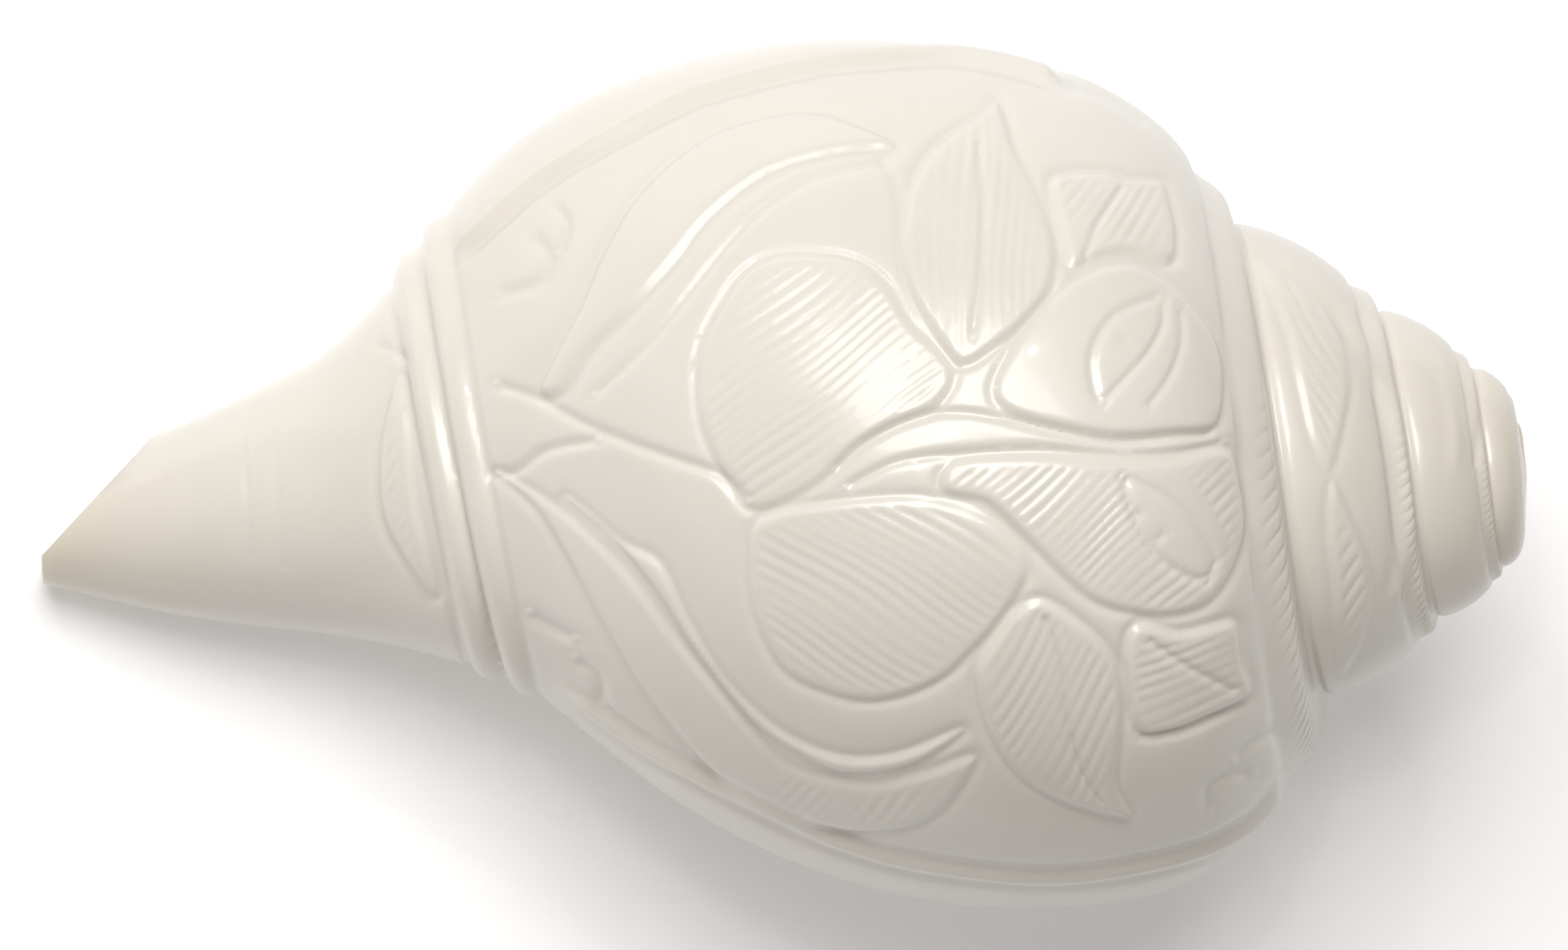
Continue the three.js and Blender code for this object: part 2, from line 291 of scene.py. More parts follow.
def photo_pixels(along, azimuth, radius):
    """Where a place on the back shows in the photograph. A place under it gets the same pixel."""
    up = radius * np.sin(np.radians(azimuth))
    across = (-along * math.sqrt(1 - PHOTO_TILT**2) - up * PHOTO_TILT) / PHOTO_MM
    down = (along * PHOTO_TILT - up * math.sqrt(1 - PHOTO_TILT**2)) / PHOTO_MM
    return PHOTO_APEX[0] + across, PHOTO_APEX[1] + down


# Carved shapes on the back, as curves in the photograph's pixels.
# Petals and leaves stand proud of the ground, and some are hatched: (angle in degrees, pitch).
PETALS = {
    "left petal": {
        "outline": [
            (955, 647), (917, 591), (896, 539), (892, 486), (896, 444), (917, 398), (948, 353),
            (983, 332), (1036, 328), (1090, 338), (1130, 368), (1160, 415), (1212, 470),
            (1190, 518), (1142, 541), (1096, 566), (1058, 602), (1005, 636),
        ],
        "hatch": (38, 14),
    },
    "lower petal": {
        "outline": [
            (1000, 650), (1045, 643), (1112, 636), (1179, 636), (1246, 655), (1290, 690),
            (1305, 730), (1275, 785), (1237, 828), (1200, 862), (1150, 884), (1100, 891),
            (1045, 877), (1003, 855), (975, 813), (959, 761), (955, 708), (962, 668),
        ],
        "hatch": (-32, 15),
    },
    "lower right petal": {
        "outline": [
            (1215, 590), (1311, 583), (1398, 588), (1486, 588), (1560, 575), (1580, 615),
            (1586, 670), (1568, 727), (1536, 768), (1491, 783), (1446, 781), (1393, 765),
            (1348, 729), (1300, 680), (1255, 640), (1200, 625),
        ],
        "hatch": (42, 13),
        "bare": [
            (1427, 605), (1437, 647), (1467, 703), (1503, 730), (1532, 740), (1543, 713),
            (1560, 690), (1540, 650), (1517, 620), (1480, 600),
        ],
    },
    "upper right petal": {
        "outline": [
            (1320, 400), (1353, 370), (1381, 353), (1409, 342), (1444, 339), (1479, 353),
            (1521, 395), (1549, 437), (1558, 490), (1545, 545), (1490, 552), (1420, 556),
            (1350, 545), (1290, 528), (1265, 500), (1285, 450),
        ],
        "hatch": None,
    },
    "pointed leaf": {
        "outline": [
            (1272, 132), (1251, 146), (1205, 177), (1170, 219), (1153, 275), (1149, 328),
            (1163, 381), (1191, 426), (1222, 465), (1268, 440), (1315, 398), (1339, 355),
            (1340, 305), (1318, 247), (1292, 195),
        ],
        "hatch": (88, 15),
    },
    "upper folded leaf": {
        "outline": [
            (1338, 235), (1363, 223), (1409, 221), (1437, 230), (1479, 232), (1489, 258),
            (1497, 297), (1489, 335), (1440, 322), (1395, 328), (1362, 340), (1348, 290),
        ],
        "hatch": (55, 15),
    },
    "long leaf": {
        "outline": [
            (690, 492), (738, 398), (766, 332), (808, 258), (860, 205), (913, 170), (966, 153),
            (1022, 144), (1071, 153), (1140, 186), (1071, 195), (1001, 212), (948, 240),
            (896, 286), (861, 332), (808, 391), (750, 450), (716, 500),
        ],
        "hatch": None,
        "strength": 1.1,
    },
    "sweeping leaf": {
        "outline": [
            (634, 603), (680, 641), (718, 701), (760, 778), (813, 866), (866, 936), (918, 996),
            (989, 1041), (1059, 1059), (1125, 1060), (1179, 1046), (1214, 1015), (1240, 965),
            (1179, 984), (1116, 1000), (1058, 993), (1000, 972), (950, 925), (905, 870),
            (858, 810), (803, 735), (750, 680), (700, 640),
        ],
        "hatch": (48, 15),
        "bare": [(560, 540), (860, 640), (960, 840), (960, 1100), (760, 980), (560, 760)],
    },
    "inner sweeping leaf": {
        "outline": [
            (722, 634), (790, 690), (841, 718), (876, 789), (918, 859), (964, 908), (1006, 939),
            (1059, 961), (1103, 966), (1156, 957), (1225, 930), (1160, 975), (1076, 985),
            (1017, 960), (971, 930), (929, 885), (883, 825), (848, 770), (803, 710), (761, 665),
        ],
        "hatch": None,
    },
    "lower pointed leaf": {
        "outline": [
            (1268, 810), (1243, 850), (1246, 890), (1263, 939), (1295, 984), (1339, 1015),
            (1388, 1033), (1440, 1041), (1420, 1002), (1424, 948), (1431, 886), (1418, 841),
            (1380, 800), (1325, 765), (1290, 780),
        ],
        "hatch": (60, 15),
    },
    "lower folded leaf": {
        "outline": [
            (1440, 800), (1500, 806), (1545, 796), (1573, 794), (1582, 845), (1592, 888),
            (1536, 913), (1491, 930), (1452, 933), (1432, 880),
        ],
        "hatch": (20, 15),
    },
    "neck leaf": {
        "outline": [
            (508, 480), (489, 540), (483, 603), (491, 665), (520, 719), (556, 762), (545, 700),
            (532, 640), (524, 580), (519, 530),
        ],
        "hatch": (66, 13),
    },
    "spire leaf": {
        "outline": [
            (1603, 330), (1647, 348), (1688, 388), (1712, 438), (1718, 491), (1710, 540),
            (1692, 600), (1670, 560), (1655, 500), (1640, 430), (1620, 375),
        ],
        "hatch": (-58, 15),
        "strength": 0.5,
    },
    "lower spire leaf": {
        "outline": [
            (1696, 615), (1723, 665), (1744, 719), (1748, 763), (1737, 817), (1710, 858),
            (1700, 800), (1696, 740), (1690, 680),
        ],
        "hatch": (56, 15),
        "strength": 0.5,
    },
}

# Cut lines, with their half-width in pixels and depth in millimetres.
CUTS = {
    "upper eye's left edge": {
        "line": [
            (1477, 380), (1443, 390), (1413, 407), (1393, 437), (1386, 468), (1392, 503),
            (1400, 517),
        ],
        "half_width": 6, "depth": 0.3,
    },
    "upper eye's right edge": {
        "line": [(1478, 384), (1477, 417), (1459, 451), (1432, 481), (1402, 513)],
        "half_width": 5, "depth": 0.28,
    },
    "upper eye's outer line": {
        "line": [(1500, 394), (1501, 440), (1485, 483), (1456, 522)],
        "half_width": 5, "depth": 0.24,
    },
    "upper eye's pupil": {
        "line": [(1420, 430), (1438, 445)],
        "half_width": 5, "depth": 0.15,
    },
    "lower eye's left edge": {
        "line": [(1427, 607), (1437, 647), (1467, 703), (1503, 730), (1532, 740)],
        "half_width": 6, "depth": 0.3,
    },
    "lower eye's right edge": {
        "line": [(1427, 607), (1463, 623), (1490, 640), (1517, 667), (1543, 713), (1532, 740)],
        "half_width": 5, "depth": 0.26,
    },
    "lower eye's upper pupil": {
        "line": [(1452, 648), (1440, 664)],
        "half_width": 5, "depth": 0.2,
    },
    "lower eye's lower pupil": {
        "line": [(1482, 676), (1466, 692)],
        "half_width": 5, "depth": 0.2,
    },
    "pointed leaf's vein": {
        "line": [(1246, 180), (1250, 260), (1248, 340), (1238, 430)],
        "half_width": 5, "depth": 0.34,
    },
    "upper folded leaf's fold": {
        "line": [(1430, 238), (1398, 286), (1377, 335)],
        "half_width": 5, "depth": 0.3,
    },
    "lower pointed leaf's vein": {
        "line": [(1326, 780), (1338, 820), (1350, 868), (1358, 921), (1375, 979), (1405, 1025)],
        "half_width": 5, "depth": 0.34,
    },
    "lower folded leaf's fold": {
        "line": [(1455, 812), (1513, 850), (1575, 880)],
        "half_width": 5, "depth": 0.3,
    },
    "stem's upper line": {
        "line": [
            (1060, 600), (1100, 565), (1160, 535), (1220, 527), (1300, 540), (1398, 563),
            (1451, 563), (1504, 556), (1550, 551),
        ],
        "half_width": 6, "depth": 0.4,
    },
    "stem's lower line": {
        "line": [
            (1075, 622), (1140, 590), (1216, 579), (1311, 573), (1398, 577), (1486, 577),
            (1562, 563),
        ],
        "half_width": 6, "depth": 0.4,
    },
    "left stem's upper line": {
        "line": [
            (634, 490), (680, 505), (740, 537), (800, 563), (866, 587), (918, 606), (957, 641),
        ],
        "half_width": 7, "depth": 0.45,
    },
    "left stem's lower line": {
        "line": [(634, 603), (662, 599), (699, 574), (765, 561)],
        "half_width": 7, "depth": 0.4,
    },
    "long leaf's vein": {
        "line": [
            (758, 505), (826, 440), (872, 385), (915, 330), (965, 275), (1020, 235), (1080, 215),
            (1130, 205),
        ],
        "half_width": 6, "depth": 0.34,
    },
    "long leaf's tip": {
        "line": [(1120, 195), (1140, 240), (1148, 290)],
        "half_width": 7, "depth": 0.3,
    },
    "line in the upper corner": {
        "line": [(1347, 103), (1390, 116), (1430, 136), (1464, 164)],
        "half_width": 8, "depth": 0.3,
    },
    "lower right comma's upper line": {
        "line": [(1570, 970), (1597, 944), (1632, 930)],
        "half_width": 8, "depth": 0.4,
    },
    "lower right comma's lower line": {
        "line": [(1540, 1033), (1538, 1006), (1563, 987), (1598, 983)],
        "half_width": 8, "depth": 0.4,
    },
    "line under the lower folded leaf": {
        "line": [(1447, 937), (1513, 930), (1590, 890)],
        "half_width": 6, "depth": 0.25,
    },
    "lower left comma's upper line": {
        "line": [(676, 780), (705, 800), (736, 815)],
        "half_width": 8, "depth": 0.45,
    },
    "lower left comma's lower line": {
        "line": [(733, 838), (762, 864), (769, 900)],
        "half_width": 8, "depth": 0.45,
    },
    "upper left comma's upper line": {
        "line": [(708, 258), (724, 288), (712, 326)],
        "half_width": 7, "depth": 0.45,
    },
    "upper left comma's lower line": {
        "line": [(678, 298), (702, 330), (688, 360), (636, 377)],
        "half_width": 8, "depth": 0.4,
    },
    "neck leaf's upper line": {
        "line": [(480, 437), (505, 448), (529, 462)],
        "half_width": 5, "depth": 0.25,
    },
    "line on the spire": {
        "line": [(1888, 440), (1890, 520), (1886, 600)],
        "half_width": 5, "depth": 0.2,
    },
    "canal's left line": {
        "line": [(322, 470), (318, 560), (319, 640), (325, 720)],
        "half_width": 4, "depth": 0.1,
    },
    "canal's right line": {
        "line": [(360, 460), (357, 560), (359, 640), (364, 730)],
        "half_width": 4, "depth": 0.1,
    },
}

# Raised lines, with their half-width in pixels and height in millimetres.
CORDS = {
    "upper border": {
        "line": [
            (578, 326), (608, 300), (700, 222), (850, 138), (912, 113), (1041, 82), (1137, 73),
            (1213, 70), (1270, 78), (1322, 92), (1356, 106),
        ],
        "half_width": 6, "height": 0.95,
    },
    "lower border": {
        "line": [
            (720, 878), (790, 930), (850, 968), (1000, 1046), (1100, 1084), (1200, 1106),
            (1350, 1118), (1500, 1094), (1590, 1055), (1640, 1000),
        ],
        "half_width": 6, "height": 0.6,
    },
    "spire leaves' ridge": {
        "line": [
            (1621, 321), (1679, 366), (1716, 406), (1747, 460), (1772, 527), (1786, 589),
            (1790, 652), (1788, 720), (1775, 780),
        ],
        "half_width": 7, "height": 0.3,
    },
    "upper whorl's ridge": {
        "line": [(1813, 429), (1844, 473), (1857, 527), (1857, 620)],
        "half_width": 9, "height": 0.14,
    },
}

# How the shapes are carved. Heights and depths are in millimetres, and widths in pixels.
PETAL = {
    "edge": 9, "lift": 0.14, "groove": 0.3, "groove_width": 7, "groove_outside": 2,
    "ground": 0.28, "reach": 48, "farthest": 120,
}

# Hatching wanders by some pixels and varies by shares of its depth, over waves whose lengths
# over 2 pi are given in pixels.
HATCH = {"depth": 0.12, "margin": (5, 20), "wander": 3.5, "usual": 0.75, "varies": 0.35}
WANDER_WAVES = {"ahead": 41, "slant": 60, "across": 23}
DEPTH_WAVES = {"ahead": 55, "across": 17}

# How far cut and raised lines reach and how they end, and where the groove beside a raised
# line is, in half-widths. That groove's depth is a share of the line's height.
CUT_LINE = {"reach": 4, "ends": 1.6}
RAISED_LINE = {"reach": 5, "ends": 5, "groove": 0.4, "groove_at": 2}


def smooth_line(points, closed=False):
    """Points along a smooth curve through the given ones."""
    p = np.array(points, float)
    if closed:
        p = np.vstack([p[-1], p, p[0], p[1]])
    else:
        p = np.vstack([2 * p[0] - p[1], p, 2 * p[-1] - p[-2]])
    t = np.linspace(0, 1, CURVE_PIECES, endpoint=False)[:, None]
    made = []
    for a, b, c, d in zip(p, p[1:], p[2:], p[3:]):
        curve = 2 * b + (c - a) * t + (2 * a - 5 * b + 4 * c - d) * t**2
        made.append((curve + (3 * b - a - 3 * c + d) * t**3) / 2)
    made.append(p[-2][None])
    return np.vstack(made)


def places_near(line, x, y, reach):
    """Which places are within reach of a line's box."""
    low = line.min(axis=0) - reach
    high = line.max(axis=0) + reach
    return np.flatnonzero((x > low[0]) & (x < high[0]) & (y > low[1]) & (y < high[1]))


def distance_to(line, x, y):
    """The distance from places to the nearest piece of a line."""
    best = np.full(x.shape, np.inf)
    for (ax, ay), (bx, by) in zip(line, line[1:]):
        dx, dy = bx - ax, by - ay
        t = np.clip(((x - ax) * dx + (y - ay) * dy) / (dx * dx + dy * dy + 1e-9), 0, 1)
        best = np.minimum(best, (x - ax - t * dx) ** 2 + (y - ay - t * dy) ** 2)
    return np.sqrt(best)


def inside(line, x, y):
    """Whether places are inside a closed line."""
    odd = np.zeros(x.shape, bool)
    for (ax, ay), (bx, by) in zip(line, line[1:]):
        if ay != by:
            crosses = (ay > y) != (by > y)
            odd ^= crosses & (x < (bx - ax) * (y - ay) / (by - ay) + ax)
    return odd


def ends_fade(line, x, y, length):
    """0 at both ends of a line, and 1 at a length from them."""
    first = np.hypot(x - line[0][0], y - line[0][1])
    last = np.hypot(x - line[-1][0], y - line[-1][1])
    return smoothstep(np.minimum(first, last), 0, length)


def hatching(petal, x, y, signed):
    """How deep a petal's hatching cuts, at places and their distances inside its outline."""
    angle, pitch = petal["hatch"]
    c, s = math.cos(math.radians(angle)), math.sin(math.radians(angle))
    across = x * s + y * c
    ahead = x * c - y * s
    slanting = np.sin(ahead / WANDER_WAVES["ahead"] + across / WANDER_WAVES["slant"])
    across = across + HATCH["wander"] * (slanting + np.sin(across / WANDER_WAVES["across"]))
    wave = 0.5 + 0.5 * np.cos(2 * math.pi * across / pitch)
    varied = np.sin(across / DEPTH_WAVES["across"] + ahead / DEPTH_WAVES["ahead"])
    deep = HATCH["depth"] * (HATCH["usual"] + HATCH["varies"] * varied)
    deep = deep * smoothstep(signed, *HATCH["margin"])
    if "bare" in petal:
        bare = smooth_line(petal["bare"], closed=True)
        deep = np.where(inside(bare, x, y), 0, deep)
    return deep * wave**2


def carve_petal(petal, x, y, height, ground):
    """Lifts a petal, cuts the groove round it and sinks the ground beside it."""
    line = smooth_line(petal["outline"], closed=True)
    i = places_near(line, x, y, PETAL["farthest"])
    depth = distance_to(line, x[i], y[i])
    signed = np.where(inside(line, x[i], y[i]), depth, -depth)
    strength = petal.get("strength", 1)
    rise = smoothstep(signed, -PETAL["edge"], PETAL["edge"])
    sunk = strength * PETAL["ground"] * np.exp(-np.maximum(-signed, 0) / PETAL["reach"])
    ground[i] = np.maximum(ground[i] * (1 - rise), sunk * (1 - rise))
    groove = PETAL["groove"] * ridge(signed + PETAL["groove_outside"], PETAL["groove_width"])
    height[i] += strength * (PETAL["lift"] * rise - groove)
    if petal["hatch"]:
        height[i] -= hatching(petal, x[i], y[i], signed)


def carve_cut(cut, x, y, height):
    """Cuts a line."""
    line = smooth_line(cut["line"])
    i = places_near(line, x, y, CUT_LINE["reach"] * cut["half_width"])
    fade = ends_fade(line, x[i], y[i], CUT_LINE["ends"] * cut["half_width"])
    height[i] -= cut["depth"] * fade * ridge(distance_to(line, x[i], y[i]), cut["half_width"])


def raise_cord(cord, x, y, height):
    """Raises a line, with a shallow groove on both sides."""
    line = smooth_line(cord["line"])
    half_width = cord["half_width"]
    i = places_near(line, x, y, RAISED_LINE["reach"] * half_width)
    away = distance_to(line, x[i], y[i])
    raised = cord["height"] * ends_fade(line, x[i], y[i], RAISED_LINE["ends"] * half_width)
    groove = RAISED_LINE["groove"] * ridge(away - RAISED_LINE["groove_at"] * half_width, half_width)
    height[i] += raised * (ridge(away, half_width) - groove)


def relief(x, y):
    """The drawn carving's height in millimetres at pixels of the photograph."""
    height = np.zeros(x.shape)
    ground = np.zeros(x.shape)
    for petal in PETALS.values():
        carve_petal(petal, x, y, height, ground)
    for cut in CUTS.values():
        carve_cut(cut, x, y, height)
    for cord in CORDS.values():
        raise_cord(cord, x, y, height)
    return height - ground


def size_at(suture):
    """The rope grows with the shell, up to its full width."""
    return np.minimum(1, suture / ROPE["full_from"])


def rope(along, azimuth, turn):
    """The height of the rope at a suture, and of the grooves beside it."""
    suture = suture_at(turn)
    size = size_at(suture)
    offset = (along - suture) / size - ROPE["offset"]
    twist = np.cos(2 * math.pi * (turn * TWIST["per_turn"] + offset / TWIST["lean"] / 2))
    rubbed = smoothstep(np.sin(np.radians(azimuth)), *TWIST["rubbed_side"])
    kept = 1 - TWIST["rubbed"] * rubbed
    twisted = 1 - TWIST["depth"] * kept * np.maximum(twist, 0) ** 2
    size = size * smoothstep(suture, *ROPE["worn"])
    raised = size * ROPE["height"] * ridge(offset, ROPE["half_width"]) * twisted
    foot = ridge(offset - ROPE_FOOT["beyond"], ROPE_FOOT["half_width"])
    raised -= ROPE_FOOT["depth"] * size * foot
    next_suture = suture * GROWTH
    before_next = (along - next_suture) / size_at(next_suture)
    groove = ridge(before_next + NEXT_SUTURE_GROOVE["before"], NEXT_SUTURE_GROOVE["half_width"])
    return raised - np.where(turn < -1, NEXT_SUTURE_GROOVE["depth"] * size * groove, 0)


def neck_ring(ring, along, azimuth):
    """The height of a ring round the neck, and of the grooves on both its sides."""
    middle = ring["along"] + ring["lean"] * np.sin(np.radians(azimuth))
    raised = ring["height"] * ridge(along - middle, ring["half_width"])
    beside = np.abs(along - middle) - RING_FOOT["beside"]
    return raised - RING_FOOT["depth"] * ridge(beside, RING_FOOT["half_width"])


def slope_of(along, turn):
    """How fast the radius grows along the shell."""
    step = 0.3
    return (smooth_radius(along + step, turn) - smooth_radius(along - step, turn)) / (2 * step)


def cut_along(azimuth, turn):
    """Where the slanting cut ends the canal, found in steps that settle there."""
    steps = 14
    along = np.full(azimuth.shape, CANAL["cut_sum"], float)
    for _ in range(steps):
        side = smooth_radius(along, turn) * np.sin(np.radians(azimuth))
        wanted = np.clip(CANAL["cut_sum"] - side, CANAL["shortest"], CANAL["longest"])
        along = (along + wanted) / 2
    return along


def whorl_rows(turn):
    """The alongs of a whorl's rows from its suture to the next, one column for each turn."""
    shares = np.linspace(0, GROWTH - 1, WHORL_STEPS + 1)[:, None]
    return suture_at(turn) * (1 + shares)


def last_whorl_rows(turn, azimuth):
    """The alongs of every row of the last whorl, one column for each turn."""
    body_from = suture_at(turn) * GROWTH
    body = body_from + (BODY_ALONG - body_from) * np.linspace(0, 1, BODY_STEPS + 1)[1:, None]
    neck = np.linspace(BODY_ALONG, NECK_UNTIL, NECK_STEPS + 1)[1:, None] * np.ones_like(turn)
    shares = np.linspace(0, 1, END_STEPS + 1)[1:, None]
    end = NECK_UNTIL + (cut_along(azimuth, turn) - NECK_UNTIL) * shares
    return np.vstack([whorl_rows(turn), body, neck, end])


def drawn_carving(along, azimuth, turn, radius):
    """The height of the petals and lines. The spire's leaves show on its hidden side too."""
    x, y = photo_pixels(along, azimuth, radius)
    drawn = relief(x.ravel(), y.ravel()).reshape(x.shape)
    share = along / suture_at(turn)
    drawn *= smoothstep(share, 1, 1 + SUTURE_FADE) * smoothstep(turn, *TIP_FADE)
    drawn *= np.where(turn < -1, smoothstep(-share, -GROWTH, SUTURE_FADE - GROWTH), 1)
    on_back = smoothstep(np.cos(np.radians(azimuth)), *SIDE_FADE)
    return drawn * np.maximum(on_back, turn < -1)


def carved_place(along, azimuth, turn, shift, carve):
    """Points of the outside, with the carving standing square to the surface."""
    radius = smooth_radius(along, turn)
    if carve:
        height = rope(along, azimuth, turn)
        for ring in NECK_RINGS:
            height += neck_ring(ring, along, azimuth)
        height += drawn_carving(along, azimuth + shift, turn, radius)
        slope = slope_of(along, turn)
        tilt = 1 / np.sqrt(1 + slope**2)
        along = along - height * slope * tilt
        radius = radius + height * tilt
    return place(along, azimuth + shift, radius)


class Skin:
    """Collects grids of points and the faces between them."""

    def __init__(self):
        self.points = []
        self.faces = []
        self.count = 0

    def add(self, points):
        """Adds an array of points and returns their numbers in the same shape."""
        flat = points.reshape(-1, 3)
        numbers = np.arange(self.count, self.count + len(flat)).reshape(points.shape[:-1])
        self.points.append(flat)
        self.count += len(flat)
        return numbers

    def grid(self, numbers):
        """Faces over a grid whose first index runs along and second backwards round."""
        a, b = numbers[:-1, :-1], numbers[1:, :-1]
        c, d = numbers[1:, 1:], numbers[:-1, 1:]
        self.triangles(a, b, c)
        self.triangles(a, c, d)

    def triangles(self, a, b, c):
        """Faces between three arrays of points' numbers, without those that have no area."""
        t = np.stack([np.ravel(a), np.ravel(b), np.ravel(c)], axis=1)
        same = (t[:, 0] == t[:, 1]) | (t[:, 1] == t[:, 2]) | (t[:, 0] == t[:, 2])
        self.faces.append(t[~same])

    def mesh(self, name):
        """A Blender mesh of the points that a face uses."""
        points = np.vstack(self.points)
        faces = np.vstack(self.faces)
        used, numbers = np.unique(faces, return_inverse=True)
        made = bpy.data.meshes.new(name)
        made.from_pydata(points[used].tolist(), [], numbers.reshape(-1, 3).tolist())
        made.update()
        return made


def stitch(skin, left, right, along_of):
    """Joins two rows of points that share both ends but not their number."""
    i = j = 0
    made = []
    while i < len(left) - 1 or j < len(right) - 1:
        next_left = along_of[left[i + 1]] if i < len(left) - 1 else math.inf
        next_right = along_of[right[j + 1]] if j < len(right) - 1 else math.inf
        if next_left <= next_right:
            made.append((left[i], left[i + 1], right[j]))
            i += 1
        else:
            made.append((left[i], right[j + 1], right[j]))
            j += 1
    made = np.array(made)
    skin.triangles(made[:, 0], made[:, 1], made[:, 2])


def outside(carve):
    """The whole outside as one closed skin, with a plain step from the lip inwards."""
    skin = Skin()
    turn = -np.arange(COLUMNS + 1) / COLUMNS
    azimuth = LIP_AZIMUTH + 360 * turn
    along = last_whorl_rows(turn, azimuth)
    turns = np.broadcast_to(turn, along.shape)
    azimuths = np.broadcast_to(azimuth, along.shape)
    shift = smoothstep(turns, -LIP_EASE_TURNS, 0) * lip_shift(along)
    whorls = [skin.add(carved_place(along, azimuths, turns, shift, carve))]
    for whorl in range(1, UPPER_WHORLS + 1):
        along = whorl_rows(turn - whorl)
        upper = np.broadcast_to(turn - whorl, along.shape)
        points = carved_place(along, azimuths[: WHORL_STEPS + 1], upper, 0, carve)
        whorls.append(skin.add(points))

    # Neighbouring whorls share their sutures, and each whorl ends where the next one began.
    for w in range(1, UPPER_WHORLS + 1):
        whorls[w][WHORL_STEPS] = whorls[w - 1][0]
    for w in range(UPPER_WHORLS):
        whorls[w][:WHORL_STEPS, COLUMNS] = whorls[w + 1][:WHORL_STEPS, 0]
    for numbers in whorls:
        numbers[WHORL_STEPS, COLUMNS] = numbers[0, 0]
        skin.grid(numbers)

    # The step down from the lip.
    body = whorls[0]
    x_of = np.vstack(skin.points)[:, 0]
    inner = list(body[WHORL_STEPS:, COLUMNS]) + [body[-1, 0]]
    stitch(skin, inner, list(body[:, 0]), -x_of)

    # The blunt tip closes on the axis, and the canal ends in its slanting cut.
    top = whorls[UPPER_WHORLS]
    crown = np.concatenate([top[0, :COLUMNS], top[:WHORL_STEPS, COLUMNS]])
    summit = skin.add(place(np.zeros(1), np.zeros(1), np.zeros(1)))[0]
    skin.triangles(np.full(len(crown), summit), crown, np.roll(crown, -1))
    rim = body[-1]
    centre = skin.add(np.vstack(skin.points)[rim].mean(axis=0)[None])[0]
    skin.triangles(np.full(len(rim), centre), np.roll(rim, -1), rim)
    return skin


def hollow():
    """The hollow as a closed skin: a bent horn between the inner whorl and the wall."""
    skin = Skin()
    back = np.linspace(-HOLLOW["before"], HOLLOW["depth"], HOLLOW_COLUMNS + 1)[None, :]
    turn = -back / 360
    start = suture_at(np.minimum(turn, 0)) + HOLLOW["behind_suture"]
    shares = np.linspace(0, 1, HOLLOW_ROWS + 1)[:, None]
    along = start + (END_ALONG + HOLLOW["beyond_end"] - start) * shares
    turn = np.broadcast_to(turn, along.shape)
    back = np.broadcast_to(back, along.shape)
    thickness = WALL + (CANAL_WALL - WALL) * smoothstep(along, *HOLLOW["thins_along"])
    within = smoothstep(back + lip_shift(along), *HOLLOW["enters"])
    floor = smooth_radius(along, turn - 1) - HOLLOW["cut"] * within + HOLLOW["clear"] * (1 - within)
    wall_inside = smooth_radius(along, np.minimum(turn, 0)) - thickness
    roof = np.maximum(wall_inside, floor + HOLLOW["least_height"])
    high = skin.add(place(along, LIP_AZIMUTH - back, roof))
    low = skin.add(place(along, LIP_AZIMUTH - back, floor))
    skin.grid(high)
    skin.grid(low[:, ::-1])
    for edge, flip in ((0, False), (-1, True)):
        wall = np.stack([low[edge], high[edge]])
        skin.grid(wall[:, ::-1] if flip else wall)
    for edge, flip in ((0, True), (-1, False)):
        wall = np.stack([low[:, edge], high[:, edge]])
        skin.grid(wall[:, ::-1] if flip else wall)
    return skin


def laid_down(points):
    """Points turned from the shaped shell's axis to its pitch on the table."""
    pitch = math.radians(LIE["pitch"])
    x = points[:, 0] * math.cos(pitch) - points[:, 2] * math.sin(pitch)
    z = points[:, 0] * math.sin(pitch) + points[:, 2] * math.cos(pitch)
    return np.stack([x, points[:, 1], z], axis=1)


def object_of(data, name):
    """An object in the scene for a mesh, camera or light."""
    made = bpy.data.objects.new(name, data)
    bpy.context.scene.collection.objects.link(made)
    return made


def apply_modifiers(obj):
    """Gives the object the mesh that its modifiers make."""
    graph = bpy.context.evaluated_depsgraph_get()
    obj.data = bpy.data.meshes.new_from_object(obj.evaluated_get(graph))
    obj.modifiers.clear()


def cut_away(obj, tool):
    """Takes one object's volume out of another, and removes the tool."""
    cut = obj.modifiers.new("cut", "BOOLEAN")
    cut.operation = "DIFFERENCE"
    cut.solver = "MANIFOLD"
    cut.object = tool
    apply_modifiers(obj)
    bpy.data.objects.remove(tool)


def thin_out(obj, triangles):
    """Takes triangles out where the surface is plain, until no more than a number are left."""
    count = sum(len(p.vertices) - 2 for p in obj.data.polygons)
    if count > triangles:
        fewer = obj.modifiers.new("fewer", "DECIMATE")
        fewer.ratio = triangles / count
        fewer.use_collapse_triangulate = True
        apply_modifiers(obj)


def resting_middle():
    """The point of the laid shell that comes to the world's origin, just above its lowest."""
    smooth = laid_down(np.vstack(outside(False).points))
    low, high = smooth.min(axis=0), smooth.max(axis=0)
    return np.array([(low[0] + high[0]) / 2, (low[1] + high[1]) / 2, low[2] + LIE["flat"]])


def lay_on_table(mesh, middle):
    """Lays a mesh where the solid lies, flat where it would go into the table."""
    points = np.empty(len(mesh.vertices) * 3)
    mesh.vertices.foreach_get("co", points)
    points = laid_down(points.reshape(-1, 3)) - middle
    points[:, 2] = np.maximum(points[:, 2], 0)
    mesh.vertices.foreach_set("co", (points / MM_PER_METRE).ravel())
    mesh.update()


